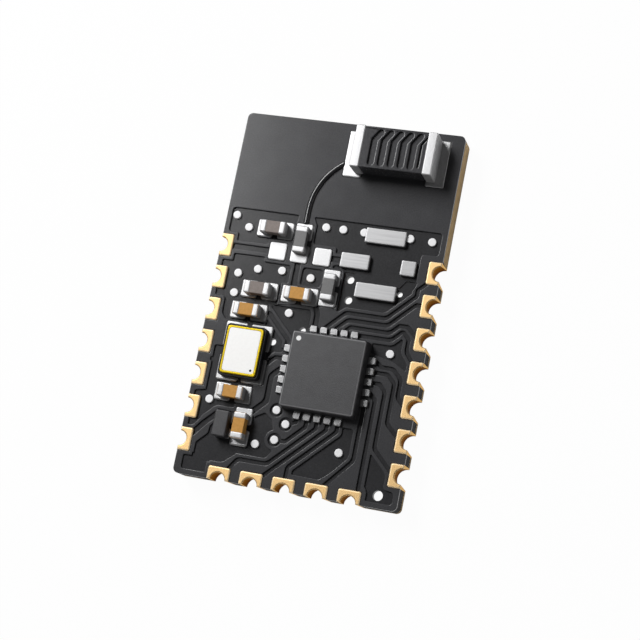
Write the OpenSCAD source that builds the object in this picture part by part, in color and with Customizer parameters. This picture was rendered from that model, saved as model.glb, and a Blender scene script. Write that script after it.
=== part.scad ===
// Wireless transceiver module: a black circuit board with gold edge pins, a chip antenna and its parts.
// +Z points up from the soldered side and +Y to the antenna end. The origin lies on the
// middle line, pin_end from the pin end, which is under the centre of a 14.3 mm board.

/* [Board] */
// Width across the two side rows of pins
board_w = 8.7; // [8.5:0.1:9.6]
// Length from the pin end to the antenna end
board_l = 14.3; // [14.1:0.1:16]
// Finished thickness with both masks
board_t = 1; // [0.8:0.1:1.6]
// Radius of the board's corners
corner_r = 0.2; // [0.1:0.02:0.5]
// Thickness of the copper foil
foil_t = 0.035; // [0.018:0.001:0.07]
// Thickness of the mask over the foil
coat_t = 0.02; // [0.01:0.005:0.04]
// Height of the mask ridges between the conductors
ridge_h = 0.065; // [0.02:0.005:0.08]
// Thickness of the mask on the underside
under_t = 0.03; // [0.02:0.005:0.05]

/* [Conductors] */
// Width of a signal trace
trace_w = 0.155; // [0.1:0.005:0.2]
// Width of a wide trace
wide_w = 0.22; // [0.15:0.005:0.3]
// Width of the isolation ridge beside a conductor
isolation = 0.125; // [0.08:0.005:0.18]
// Bare margin between the ground areas and the board's edge
margin = 0.2; // [0.1:0.01:0.3]
// Distance between neighbouring lanes
lane_pitch = 0.262; // [0.24:0.002:0.3]
// Height of the first lane above the chip's upper leads
lane_rise = 0.68; // [0.6:0.01:0.8]

/* [Edge pins] */
// Distance from pin to pin
pin_pitch = 1.27; // [1.2:0.01:1.28]
// Length of a pin along the edge
pin_len = 0.88; // [0.76:0.02:1]
// Reach of a pin in from the edge
pin_depth = 0.49; // [0.42:0.01:0.6]
// Radius of the half-round notch at the top
notch_r = 0.28; // [0.18:0.01:0.3]
// Widening of the notch towards the soldered side
notch_flare = 0.11; // [0:0.01:0.12]
// Thickness of the plating on the edge and in the notch
plating = 0.035; // [0.02:0.005:0.06]
// Height of a pin above the board
pin_rise = 0.05; // [0.02:0.01:0.1]
// Place of the first left pin along the board
left_row_y = 1.78; // [1.5:0.01:2]
// Place of the first right pin along the board
right_row_y = 1.75; // [1.5:0.01:2]

/* [Pads and vias] */
// Height of a tinned land above the board
land_rise = 0.05; // [0.02:0.01:0.1]
// Radius of a land's corners
land_r = 0.05; // [0.02:0.01:0.1]
// Side of a bare pad
pad_side = 0.69; // [0.5:0.01:0.7]
// Height of a tinned bar above the board
bar_rise = 0.11; // [0.05:0.01:0.2]
// Width of a tinned bar
bar_w = 0.58; // [0.4:0.01:0.65]
// Radius of a via's tinned disc
via_r = 0.155; // [0.12:0.005:0.18]
// Radius of a via's barrel
barrel_r = 0.1; // [0.06:0.005:0.11]
// Height of a via's disc above the board
via_rise = 0.025; // [0.01:0.005:0.05]
// Radius of an open hole
hole_r = 0.145; // [0.12:0.005:0.16]
// Radius of the back drilling under an open hole
back_drill_r = 0.39; // [0.3:0.01:0.39]
// Thickness of the mask that lines an open hole
lining_t = 0.025; // [0.01:0.005:0.04]

/* [Radio chip] */
// Place of the chip across the board
ic_x = 0.8; // [0.75:0.01:0.85]
// Place of the chip along the board
ic_y = -2.65; // [-2.7:0.01:-2.6]
// Height of the moulded body's underside above the board
ic_standoff = 0.025; // [0.01:0.005:0.05]
// Side of the moulded body
ic_side = 2.96; // [2.7:0.02:3]
// Height of the moulded body
ic_h = 0.53; // [0.4:0.01:0.9]
// Chamfer round the top of the body
ic_chamfer = 0.05; // [0.02:0.01:0.1]
// Draft of the body's sides
ic_draft = 0.04; // [0.01:0.01:0.08]
// Distance between the outer ends of opposite leads
ic_span = 3.58; // [3.5:0.02:3.7]
// Distance from lead to lead
lead_pitch = 0.4; // [0.36:0.01:0.41]
// Width of a lead
lead_w = 0.26; // [0.18:0.01:0.28]
// Length of a lead's raised end
lead_end = 0.23; // [0.15:0.01:0.24]
// Height of a lead's raised end above the board
lead_rise = 0.12; // [0.06:0.01:0.2]

/* [Chip parts] */
// Length of a capacitor
cap_l = 1; // [0.9:0.01:1.1]
// Width of a capacitor
cap_w = 0.49; // [0.4:0.01:0.55]
// Height of a capacitor
cap_h = 0.43; // [0.3:0.01:0.55]
// Length of a resistor
res_l = 1.04; // [0.9:0.01:1.1]
// Width of a resistor
res_w = 0.49; // [0.4:0.01:0.55]
// Height of a resistor
res_h = 0.31; // [0.25:0.01:0.45]
// Length of a terminal along the part
terminal_l = 0.25; // [0.15:0.01:0.3]
// Thickness of a terminal's metal
terminal_t = 0.015; // [0.01:0.005:0.03]
// Length over a pair of lands
lands_l = 1.46; // [1.3:0.02:1.5]
// Width of a land
lands_w = 0.68; // [0.6:0.01:0.7]
// Gap between the two lands
lands_gap = 0.2; // [0.1:0.01:0.3]
// Length of the moulded chip
block_l = 0.98; // [0.8:0.01:1.05]
// Width of the moulded chip
block_w = 0.55; // [0.45:0.01:0.6]
// Height of the moulded chip
block_h = 0.42; // [0.3:0.01:0.6]

/* [Crystal] */
// Place of the crystal across the board
crystal_x = -2.5; // [-2.55:0.01:-2.45]
// Place of the crystal along the board
crystal_y = -2.27; // [-2.32:0.01:-2.22]
// Width of the ceramic base
crystal_w = 1.6; // [1.5:0.02:1.64]
// Length of the ceramic base
crystal_l = 2; // [1.9:0.02:2.04]
// Height of the ceramic base
crystal_base_h = 0.3; // [0.2:0.01:0.5]
// Radius of the base's corners
crystal_r = 0.14; // [0.08:0.01:0.2]
// Step from the base's edge to the seal ring
ring_inset = 0.08; // [0.04:0.01:0.12]
// Width of the seal ring
ring_w = 0.085; // [0.06:0.005:0.12]
// Height of the seal ring
ring_h = 0.08; // [0.04:0.01:0.12]
// Reach of the corner lands beyond the base
crystal_land_out = 0.14; // [0.08:0.01:0.15]

/* [Antenna] */
// Place of the antenna across the board
antenna_x = 1.94; // [1.8:0.01:2]
// Place of the antenna along the board
antenna_y = 6.02; // [5.95:0.01:6.05]
// Length of the antenna over its terminals
antenna_l = 3.16; // [3:0.02:3.3]
// Width of the antenna over its terminals
antenna_w = 1.66; // [1.5:0.02:1.7]
// Height of the antenna over its terminals
antenna_h = 0.99; // [0.8:0.01:1.2]
// Length of a terminal along the antenna
antenna_cap_l = 0.36; // [0.25:0.01:0.42]
// Thickness of the antenna terminals
antenna_cap_t = 0.03; // [0.02:0.005:0.05]
// Distance from slot to slot
slot_pitch = 0.383; // [0.36:0.001:0.385]
// Width of a slot
slot_w = 0.25; // [0.15:0.01:0.26]
// Depth of a slot
slot_d = 0.09; // [0.05:0.01:0.3]
// Radius of the feed line's round section
feed_r = 0.11; // [0.06:0.005:0.14]
// Radius of the feed line's bend
feed_bend_r = 2.4; // [2.2:0.02:2.6]

/* [Hidden] */
$fn = 48;
// Slack that carries a cut clear of a face
cut = 0.2;

// Levels, from the soldered side up
core_z = under_t;
foil_z = board_t - ridge_h - coat_t - foil_t;
coat_z = foil_z + foil_t;
floor_z = coat_z + coat_t;
pocket_z = foil_z + coat_t;
top_z = board_t;
land_z = top_z + land_rise;
seat_z = top_z + ic_standoff;

// Distance from the origin to the pin end, and the shift of the antenna end that the board's length gives
pin_end = 7.15;
end_shift = board_l - 2 * pin_end;
antenna_at = [antenna_x, antenna_y + end_shift];

// Limits of the ground areas
edge_x = board_w / 2 - margin;
edge_y = pin_end - margin;
ground_y = 3.31;
corner_x = edge_x - 0.08;

// Pins along each side, and the ones joined to the ground areas
side_pins = 7;
end_pins = 5;
ground_pins = [1, 5];

// Inner end of a pin, counted from the antenna end or from the left
function left_pin(i) = [-board_w / 2 + pin_depth, left_row_y - i * pin_pitch];
function right_pin(i) = [board_w / 2 - pin_depth, right_row_y - i * pin_pitch];
function bottom_pin(i) = [(i - (end_pins - 1) / 2) * pin_pitch, -pin_end + pin_depth];

// Outer end of a chip lead, counted from the left or from the top
leads = 5;
function lead_step(k) = (k - (leads - 1) / 2) * lead_pitch;
function lead_up(k) = [ic_x + lead_step(k), ic_y + ic_span / 2];
function lead_down(k) = [ic_x + lead_step(k), ic_y - ic_span / 2];
function lead_left(k) = [ic_x - ic_span / 2, ic_y - lead_step(k)];
function lead_right(k) = [ic_x + ic_span / 2, ic_y - lead_step(k)];

// Chip parts: place and direction of each
cap_spots = [[-2.28, 2.62, 0], [-2.42, 0.2, 0], [-0.82, 0.21, 0], [-2.67, -0.67, 0], [-2.62, -3.84, 0],
    [-2.03, -5.05, 90]];
res_spots = [[-1.15, 2.31, 90], [0.28, 0.64, 90]];
brown_caps = [0, 1];
block_spot = [-2.73, -5.08, 90];
block_land_out = 0.06;
block_land_shift = 0.02;

// The first resistor's upper land, which pairs with a bare pad
first_land_y = res_spots[0].y + 0.36;
first_land_l = 0.66;

// Bare pads in a row, the middle one under the first resistor
pad_row_y = 1.79;
pad_xs = [-2.02, res_spots[0].x, -0.24];

// Tinned bars: centre and length of each
bars = [[2.06, 2.87, 1.58], [1.06, 1.8, 1.13], [3.13, 1.79, bar_w], [2.06, 0.74, 1.58]];

// Via discs that stand in the ground areas, and the ones with a clear ring
vias = [[-3.94, 3.01], [-3.37, 2.59], [-0.33, 2.97], [0.35, 2.97], [1.18, 2.96], [2.97, 2.95],
    [3.82, 2.93], [-2.67, 1.01], [-1.71, 1.07], [-0.54, 0.94], [-3.42, 0.76], [-3.42, -0.02],
    [-1.11, -0.51], [3.04, -1.48], [-3.51, -4.2], [-1.38, -5.59], [1.84, -5.4]];
ring_vias = [[-0.82, -4.21], [-0.37, -4.68], [-0.68, -5.32]];
ring_clear = 0.1;

// Open holes: place of each, and its size as a share of the usual one
holes = [[0.98, 1.1, 1], [1.05, 0.32, 1], [2.96, 0.81, 0.7], [-1.52, -1.68, 0.9], [-0.46, -1.1, 0.95],
    [3.57, -6.68, 1.3]];
hole_depth = 0.3;

// Antenna lands: size of one, half their spacing, and the shift of their midpoint from the antenna
antenna_land = [0.72, 1.84];
antenna_land_x = 1.625;
antenna_land_shift = [-0.075, -0.065];

// Unit normal of the step from one point to the next
function step_normal(a, b) = [a.y - b.y, b.x - a.x] / norm(b - a);
// Side shift at a point of a path, mitred between its two steps
function mitre(path, i) =
    let (last = len(path) - 1)
    let (n1 = i == 0 ? step_normal(path[0], path[1]) : step_normal(path[i - 1], path[i]))
    let (n2 = i == last ? n1 : step_normal(path[i], path[i + 1]))
    (n1 + n2) / (1 + n1 * n2);
function ribbon_points(path, w) = concat(
    [for (i = [0 : len(path) - 1]) path[i] + mitre(path, i) * w / 2],
    [for (i = [len(path) - 1 : -1 : 0]) path[i] - mitre(path, i) * w / 2]);

// Strip of even width along a path
module ribbon(path, w) {
    polygon(ribbon_points(path, w));
}

// Rectangle with round corners about the origin
module round_rect(w, l, r) {
    square([w - 2 * r, l], center = true);
    square([w, l - 2 * r], center = true);
    for (sx = [-1, 1], sy = [-1, 1])
        translate([sx * (w / 2 - r), sy * (l / 2 - r)])
            circle(r);
}

// Slab of a plan between two levels
module slab(z0, z1) {
    translate([0, 0, z0])
        linear_extrude(z1 - z0)
            children();
}

// Places its children at an edge pin: local +X points out of the board
module at_left(i) {
    translate([-board_w / 2, left_pin(i).y])
        rotate(180)
            children();
}
module at_right(i) {
    translate([board_w / 2, right_pin(i).y])
        children();
}
module at_bottom(i) {
    translate([bottom_pin(i).x, -pin_end])
        rotate(-90)
            children();
}
module at_pins() {
    for (i = [0 : side_pins - 1]) {
        at_left(i) children();
        at_right(i) children();
    }
    for (i = [0 : end_pins - 1])
        at_bottom(i) children();
}

// Plan of a pin in its own frame, grown by a gap
module pin_box(gap) {
    translate([-pin_depth - gap, -pin_len / 2 - gap])
        square([pin_depth + gap, pin_len + 2 * gap]);
}
// Half-round notch that widens towards the soldered side, grown by a wall
pin_z = top_z + pin_rise;
function notch_at(z) = notch_r + notch_flare * (1 - z / pin_z);
module notch(wall) {
    translate([0, 0, -cut])
        cylinder(r1 = notch_at(-cut) + wall, r2 = notch_at(pin_z + cut) + wall, h = pin_z + 2 * cut);
}
// Room that a pin's plating takes out of the laminate
module pin_room() {
    slab(-cut, top_z + cut)
        translate([-plating, -pin_len / 2])
            square([plating + cut, pin_len]);
    notch(plating);
}

// One edge pin: a land on each face, joined round the edge and through the half-round notch
module edge_pin() {
    difference() {
        union() {
            slab(foil_z, pin_z) pin_box(0);
            slab(0, core_z) pin_box(0);
            intersection() {
                slab(0, top_z) pin_box(0);
                pin_room();
            }
        }
        notch(0);
    }
}

module board_plan() {
    translate([0, end_shift / 2])
        round_rect(board_w, board_l, corner_r);
}

// Plan of the lands under a chip part that lies along X
module land_pair(l, w, gap) {
    land = (l - gap) / 2;
    for (s = [-1, 1])
        translate([s * (gap + land) / 2, 0])
            round_rect(land, w, land_r);
}

module at_spot(spot) {
    translate([spot.x, spot.y])
        rotate(spot[2])
            children();
}

// Corner lands of the crystal, parted by two gaps
module crystal_lands_plan() {
    gap_x = 0.13;
    gap_y = 0.3;
    translate([crystal_x, crystal_y])
        difference() {
            round_rect(crystal_w + 2 * crystal_land_out, crystal_l + 2 * crystal_land_out, land_r);
            square([gap_x, 2 * crystal_l], center = true);
            square([2 * crystal_w, gap_y], center = true);
        }
}

module lands_plan() {
    for (spot = cap_spots)
        at_spot(spot) land_pair(lands_l, lands_w, lands_gap);
    at_spot(res_spots[1]) land_pair(lands_l, lands_w, lands_gap);
    at_spot(block_spot)
        translate([0, -block_land_shift])
            land_pair(block_l, block_w + block_land_out, lands_gap);
    translate([res_spots[0].x, first_land_y])
        round_rect(lands_w, first_land_l, land_r);
    for (s = [-1, 1])
        translate(antenna_at + antenna_land_shift + [s * antenna_land_x, 0])
            round_rect(antenna_land.x, antenna_land.y, land_r);
    difference() {
        crystal_lands_plan();
        hole_at(holes[3], lining_t);
    }
}

module pads_plan() {
    for (x = pad_xs)
        translate([x, pad_row_y])
            round_rect(pad_side, pad_side, land_r);
}

module bar_plan(i) {
    translate([bars[i].x, bars[i].y])
        round_rect(bars[i].z, bar_w, land_r);
}

// Lead in its own frame: the outer end lies at x = 0 and the lead runs to -X
lead_foot = 0.3;
module lead_plan() {
    translate([-lead_end - lead_foot, -lead_w / 2])
        square([lead_end + lead_foot, lead_w]);
}
module at_leads() {
    for (k = [0 : leads - 1]) {
        translate(lead_up(k)) rotate(90) children();
        translate(lead_down(k)) rotate(-90) children();
        translate(lead_left(k)) rotate(180) children();
        translate(lead_right(k)) children();
    }
}

// Ground pad under the chip
ic_pad = 1.7;
module ic_pad_plan() {
    translate([ic_x, ic_y])
        square(ic_pad, center = true);
}

module via_plan(r) {
    for (p = concat(vias, ring_vias))
        translate(p)
            circle(r);
}
// Open holes grown by a lining, and the wider drilling under them
module hole_at(p, grow) {
    translate([p.x, p.y])
        circle(hole_r * p.z + grow);
}
module hole_plan(grow) {
    for (p = holes)
        hole_at(p, grow);
}
module back_drill_plan() {
    for (p = holes)
        translate([p.x, p.y])
            circle(back_drill_r);
}

// Everything that comes up through the top mask
module openings_plan() {
    at_pins() pin_box(0);
    at_pins() circle(notch_r);
    lands_plan();
    pads_plan();
    for (i = [0 : len(bars) - 1])
        bar_plan(i);
    at_leads() lead_plan();
    ic_pad_plan();
    via_plan(via_r);
}

// Lanes over the chip: height of each, and its way from an upper lead to a right pin
function lane_y(k) = ic_y + ic_span / 2 + lane_rise - (k - 1) * lane_pitch;
function climb(k) = [lead_up(k).x + lane_y(k) - lead_up(k).y, lane_y(k)];
function rise_to(x, y, k) = [x - (y - lane_y(k)), lane_y(k)];
turn_in = 0.24;
turn_x = board_w / 2 - pin_depth - turn_in;
lane_paths = [
    [lead_up(1), climb(1), rise_to(turn_x, 0.8, 1), [turn_x, 0.8], [turn_x, 1.05],
        right_pin(0) + [0.05, -0.42]],
    [lead_up(2), climb(2), rise_to(turn_x + 0.05, right_pin(1).y, 2), right_pin(1) - [0.19, 0],
        right_pin(1)],
    [lead_up(3), climb(3), rise_to(3.2, -0.38, 3), [3.2, -0.38], [3.5, -0.38],
        right_pin(2) + [0.05, 0.07]],
    [[lead_up(4).x, lane_y(4)], rise_to(3.33, -0.61, 4), [3.33, -0.61], [3.4, -0.61], [3.63, -0.84],
        [3.63, -1.32], right_pin(3) + [0.05, 0.4]]];

// Ways from the chip's right leads down to the right and bottom pins
right_paths = [
    [lead_right(0), [2.83, -2.02], [3.27, -2.02], [3.62, -2.36], [3.62, -3.04],
        right_pin(4) + [0.05, 0.02]],
    [lead_right(1), [3.1, lead_right(1).y], [3.41, -2.54], [3.41, -4.04], right_pin(5) + [0.05, 0.09]],
    [lead_right(2), [2.88, lead_right(2).y], [3.12, -2.9], [3.12, -5.02], right_pin(6) + [0.05, 0.08]],
    [lead_right(3), [2.81, -3.25], bottom_pin(4) + [0.27, -0.05]],
    [lead_right(4) - [0.16, 0], [2.43, -5.6], bottom_pin(3) + [0.21, -0.05]]];

// Ways from the chip's lower leads to the ringed vias and the bottom pins
fan_y = ic_y - ic_span / 2 - 0.22;
function fan_to(k, y) = [lead_down(k).x - (fan_y - y), y];
function fan_start(k) = [lead_down(k).x, fan_y];
down_paths = [
    [lead_down(0), [lead_down(0).x, ring_vias[1].y + 0.13], ring_vias[1]],
    [lead_down(1), fan_start(1), fan_to(1, ring_vias[2].y), ring_vias[2]],
    [lead_down(2), fan_start(2), fan_to(2, -6.25), [-1.93, -6.25], bottom_pin(0) + [0.29, -0.05]],
    [lead_down(3), fan_start(3), bottom_pin(1) + [0.42, -0.05]],
    [lead_down(4), fan_start(4), fan_to(4, -6.24), bottom_pin(2) + [0.02, -0.05]]];

// Ways from the chip's left leads to the crystal and the parts beside it
left_paths = [
    [cap_spots[3] + [0.55, 0.04], [-1.84, -0.63], lead_left(0) + [0.06, 0.32], lead_left(0) + [0.06, 0]],
    [lead_left(1), [-1.28, lead_left(1).y], [-1.64, -2.62]]];

// Wide ways between pads, parts and pins
wide_paths = [
    [left_pin(0), [pad_xs[0], left_pin(0).y]],
    [[pad_xs[1], pad_row_y], [pad_xs[1], cap_spots[2].y]],
    [[pad_xs[2], pad_row_y], [bars[1].x, pad_row_y]],
    [[-0.09, 0.03], [-0.09, -0.17], [lead_up(0).x, -0.39], lead_up(0)],
    [lead_left(2), lead_left(2) + [-0.31, -0.31], [-1.29, -3.95], [-1.79, -4.45]],
    [left_pin(6) + [-0.05, 0.25], [-3.54, -5.13], [-2.99, -4.58]]];

thin_paths = concat(lane_paths, right_paths, down_paths, left_paths);
function flat(path) = [for (p = path) [p.x, p.y]];

// Ground areas before the isolation is taken out of them
ground_areas = [
    [[-edge_x, ground_y], [-1.49, ground_y], [-1.49, 3.07], [-1.6, 2.96], [-1.6, 2.01], [-edge_x, 2]],
    [[-edge_x, 1.5], [-1.39, 1.52], [-1.39, 0.62], [-1.64, 0.62], [-1.64, -0.23], [-1.99, -0.33],
        [-1.99, -1.08], [-3.54, -1.09], [-edge_x, -0.29]],
    [[-0.94, 1.4], [-0.11, 1.4], [-0.11, 0.62], [-0.94, 0.62]],
    [[-0.86, ground_y], [edge_x, ground_y], [edge_x, 2.42], [3.5, 2.41], [3.5, 1.35], [3.6, 1.25],
        [3.48, 0.55], [2.6, lane_y(1)], [1, lane_y(1)], [0.85, -0.16], [0.7, -0.17], [0.71, 1.43],
        [-0.09, 1.42], [-0.71, 2.12], [-0.71, 3.01]],
    [[-1.89, -0.28], [-0.34, -0.27], [-0.19, -0.42], [-0.19, -0.97], [-0.69, -1.12], [-0.74, -1.47],
        [-0.99, -1.37]],
    [[-1.93, -1.03], [-1.87, -0.78], [-0.99, -1.67], [-1.09, -2.07], [-1.29, -2.17], [-1.59, -2.47]],
    [[2.3, -1.15], [3.05, -1.15], [3.33, -0.85], [3.55, -0.95], [3.55, -1.45], [3.74, -1.64],
        [3.74, -2.04], [3.2, -1.75], [2.3, -1.55]],
    [[-3.81, -2.12], [-3.29, -2.11], [-3.29, -3.38], [-1.94, -3.37], [-1.94, -4.12], [-2.49, -4.22],
        [-2.49, -4.38], [-3.19, -4.38], [-3.69, -4.88], [-3.77, -5.28], [-edge_x, -5.28],
        [-edge_x, -3.94], [-3.82, -3.88]],
    [[-3.22, -4.5], [-1.59, -4.57], [-1.24, -4.37], [-0.94, -4.57], [-0.8, -4.96], [-0.99, -5.37],
        [-0.7, -5.76], [-0.9, -6.07], [-2.04, -6.07], [-2.5, -6.47], [-2.99, -6.48], [-3.11, -edge_y],
        [-corner_x, -edge_y], [-corner_x, -6.38], [-3.69, -6.28], [-3.69, -5.88], [-3.29, -5.48]],
    [[1.7, -4.45], [2.35, -4.45], [2.35, -5.55], [1.3, -6.5], [0.75, -6.48], [0.1, -6.48], [0.1, -6.26],
        [1.7, -4.65]],
    [[3.02, -5.14], [3.72, -5.84], [3.72, -6.44], [edge_x, -6.49], [edge_x, -edge_y], [3.14, -edge_y],
        [3.14, -6.64], [3.02, -6.44]]];

// Pocket beside the open holes where the foil is left out
clear_pocket = [[0.73, 1.37], [1.1, 1.37], [1.25, 1.03], [2.9, 1.04], [3.12, 1.34], [3.44, 1.34],
    [3.53, 1.2], [3.4, 0.95], [2.55, 0.09], [1.08, 0.08], [0.89, -0.1], [0.74, -0.1]];

// Ridges: isolation round every conductor that crosses a ground area
module isolation_plan() {
    for (path = thin_paths)
        ribbon(flat(path), trace_w + 2 * isolation);
    for (path = wide_paths)
        ribbon(flat(path), wide_w + 2 * isolation);
    for (i = [0 : side_pins - 1]) {
        if (len(search(i, ground_pins)) == 0)
            at_left(i) pin_box(isolation);
        at_right(i) pin_box(isolation);
    }
    for (i = [0 : end_pins - 1])
        at_bottom(i) pin_box(isolation);
    for (x = pad_xs)
        translate([x, pad_row_y])
            square(pad_side + 2 * isolation, center = true);
    for (p = ring_vias)
        translate(p)
            circle(via_r + ring_clear + isolation);
}

// Conductors of the top foil
module conductors_plan() {
    difference() {
        for (area = ground_areas)
            polygon(area);
        isolation_plan();
    }
    for (path = thin_paths)
        ribbon(flat(path), trace_w);
    for (path = wide_paths)
        ribbon(flat(path), wide_w);
    for (p = ring_vias)
        translate(p)
            circle(via_r + ring_clear);
}

// Glass-fibre board with its notches, barrel holes and open holes
module laminate() {
    color("tan")
        difference() {
            slab(core_z, foil_z) board_plan();
            at_pins() pin_room();
            slab(0, top_z) via_plan(barrel_r);
            slab(top_z - hole_depth, top_z) hole_plan(lining_t);
            slab(0, top_z - hole_depth) back_drill_plan();
        }
}

// Etched foil under the mask
module copper_foil() {
    color("peru")
        slab(foil_z, coat_z)
            difference() {
                intersection() {
                    conductors_plan();
                    board_plan();
                }
                openings_plan();
                hole_plan(lining_t);
                polygon(clear_pocket);
            }
}

// Black coat: thin over the foil, in ridges between the conductors, and lining the open holes
module top_mask() {
    color([0.16, 0.16, 0.17])
        difference() {
            union() {
                slab(foil_z, top_z) board_plan();
                slab(top_z - hole_depth, foil_z + ridge_h) hole_plan(lining_t);
            }
            slab(foil_z - cut, top_z + cut) openings_plan();
            slab(floor_z, top_z + cut) conductors_plan();
            slab(pocket_z, top_z + cut) polygon(clear_pocket);
            translate([0, 0, foil_z - foil_t])
                linear_extrude(2 * foil_t)
                    difference() {
                        conductors_plan();
                        hole_plan(lining_t);
                        polygon(clear_pocket);
                    }
            slab(-cut, top_z + cut) hole_plan(0);
        }
}

// Black coat on the soldered side, clear of the pins, vias and open holes
module bottom_mask() {
    color([0.16, 0.16, 0.17])
        slab(0, core_z)
            difference() {
                board_plan();
                at_pins() pin_box(0);
                at_pins() circle(notch_r);
                via_plan(via_r);
                back_drill_plan();
            }
}

module gold_pin() {
    color("goldenrod")
        edge_pin();
}

// Tinned lands under the chip parts, the crystal and the antenna
module solder_lands() {
    color("gainsboro")
        slab(foil_z, land_z) lands_plan();
}

// Bare square pads
module bare_pads() {
    color("gainsboro")
        slab(foil_z, land_z) pads_plan();
}

// Plated and filled vias: a disc on each face joined by a barrel
module via_plugs() {
    color("gainsboro") {
        slab(foil_z, top_z + via_rise)
            difference() {
                via_plan(via_r);
                for (i = [0 : len(bars) - 1])
                    bar_plan(i);
            }
        slab(core_z, foil_z) via_plan(barrel_r);
        slab(0, core_z) via_plan(via_r);
    }
}

// Raised bar of solder
module tin_bar(i) {
    color("silver")
        slab(foil_z, top_z + bar_rise) bar_plan(i);
}

// Twenty lead ends, each with a low foot that runs in under the body
module ic_leads() {
    color("silver") {
        slab(foil_z, seat_z)
            at_leads() lead_plan();
        slab(seat_z, top_z + lead_rise)
            at_leads()
                translate([-lead_end, -lead_w / 2])
                    square([lead_end, lead_w]);
    }
}

// Ground pad soldered under the chip
module ic_ground_pad() {
    color("silver")
        slab(foil_z, seat_z) ic_pad_plan();
}

// Side view of the moulded body: drafted sides and a chamfered top edge
ic_edge_r = 0.06;
ic_dot_r = 0.095;
ic_dot_t = 0.012;
ic_dot_in = 0.32;
module ic_section() {
    half = ic_side / 2;
    shoulder = half - ic_draft;
    rotate([90, 0, 0])
        linear_extrude(2 * ic_side, center = true)
            polygon([[-half, 0], [half, 0], [shoulder, ic_h - ic_chamfer], [shoulder - ic_chamfer, ic_h],
                [ic_chamfer - shoulder, ic_h], [-shoulder, ic_h - ic_chamfer]]);
}
module at_ic_dot() {
    offset_in = ic_side / 2 - ic_dot_in;
    translate([ic_x - offset_in, ic_y + offset_in, seat_z + ic_h - ic_dot_t])
        children();
}

// Moulded body of the radio chip with a shallow seat for the index dot
module ic_body() {
    color([0.28, 0.28, 0.3])
        difference() {
            translate([ic_x, ic_y, seat_z])
                intersection() {
                    ic_section();
                    rotate(90) ic_section();
                    linear_extrude(ic_h) round_rect(ic_side, ic_side, ic_edge_r);
                }
            at_ic_dot() cylinder(r = ic_dot_r, h = ic_h);
        }
}

// White dot beside the first lead
module ic_index_dot() {
    color("white")
        at_ic_dot() cylinder(r = ic_dot_r, h = ic_dot_t);
}

// Ceramic core of a chip part that lies along X on its terminals
module chip_core(l, w, h) {
    translate([0, 0, land_z + h / 2])
        cube([l - 2 * terminal_t, w - 2 * terminal_t, h - 2 * terminal_t], center = true);
}
// Two metal caps over the ends of a chip part
module chip_caps(l, w, h) {
    difference() {
        for (s = [-1, 1])
            translate([s * (l - terminal_l) / 2, 0, land_z + h / 2])
                cube([terminal_l, w, h], center = true);
        chip_core(l, w, h);
    }
}

module cap_body(i) {
    brown = len(search(i, brown_caps)) > 0;
    color(brown ? [0.46, 0.41, 0.39] : [0.73, 0.5, 0.19])
        at_spot(cap_spots[i]) chip_core(cap_l, cap_w, cap_h);
}
module cap_terminals(i) {
    color("whitesmoke")
        at_spot(cap_spots[i]) chip_caps(cap_l, cap_w, cap_h);
}
module res_body(i) {
    color([0.35, 0.35, 0.35])
        at_spot(res_spots[i]) chip_core(res_l, res_w, res_h);
}
module res_terminals(i) {
    color("whitesmoke")
        at_spot(res_spots[i]) chip_caps(res_l, res_w, res_h);
}

// Small black moulding on two lands
module moulded_chip() {
    color([0.25, 0.25, 0.27])
        slab(land_z, land_z + block_h)
            at_spot(block_spot) round_rect(block_l, block_w, land_r);
}

// Ceramic base of the crystal
module crystal_base() {
    color([0.18, 0.18, 0.2])
        slab(land_z, land_z + crystal_base_h)
            translate([crystal_x, crystal_y])
                round_rect(crystal_w, crystal_l, crystal_r);
}

// Plan of the seal ring's outer or inner edge
module ring_plan(step) {
    inset = ring_inset + step;
    translate([crystal_x, crystal_y])
        round_rect(crystal_w - 2 * inset, crystal_l - 2 * inset, crystal_r - 0.03);
}
ring_z = land_z + crystal_base_h;

// Gold seal ring brazed on the base
module crystal_seal_ring() {
    color("gold")
        slab(ring_z, ring_z + ring_h)
            difference() {
                ring_plan(0);
                ring_plan(ring_w);
            }
}

// Lid inside the ring, with a small index dimple near one corner
module crystal_lid() {
    dimple_r = 0.045;
    dimple_d = 0.02;
    dimple_in = 0.3;
    color("whitesmoke")
        difference() {
            slab(ring_z, ring_z + ring_h) ring_plan(ring_w);
            translate([crystal_x + crystal_w / 2 - dimple_in, crystal_y - crystal_l / 2 + dimple_in,
                ring_z + ring_h - dimple_d])
                cylinder(r = dimple_r, h = 2 * dimple_d);
        }
}

// Ceramic block of the antenna, before its slots
module antenna_core() {
    translate([antenna_at.x, antenna_at.y, land_z + antenna_h / 2])
        cube([antenna_l - 2 * antenna_cap_t, antenna_w - 2 * antenna_cap_t, antenna_h - 2 * antenna_cap_t],
            center = true);
}

// Slot that runs across the block and bends aside near its far end
slots = 5;
slot_bend = [0.2, 0.3];
slot_reach = 0.58;
slot_knee = 0.3;
first_slot_x = -0.8;
module slot_plan(x, w) {
    path = [[x, -slot_reach], [x, slot_knee], [x, slot_knee] + slot_bend];
    ribbon(path, w);
    translate(path[0]) circle(w / 2);
    translate(path[2]) circle(w / 2);
}

module antenna_body() {
    narrow_w = 0.07;
    slot_z = land_z + antenna_h - antenna_cap_t - slot_d;
    color([0.25, 0.25, 0.26])
        difference() {
            antenna_core();
            translate(antenna_at)
                slab(slot_z, slot_z + antenna_h) {
                    for (k = [0 : slots - 1])
                        slot_plan(first_slot_x + k * slot_pitch, slot_w);
                    slot_plan(first_slot_x + slots * slot_pitch - (slot_w - narrow_w) / 2, narrow_w);
                }
        }
}

// Silver cap over one end of the antenna
module antenna_terminal(side) {
    color("whitesmoke")
        difference() {
            translate([antenna_at.x + side * (antenna_l - antenna_cap_l) / 2, antenna_at.y,
                land_z + antenna_h / 2])
                cube([antenna_cap_l, antenna_w, antenna_h], center = true);
            antenna_core();
        }
}

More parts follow.
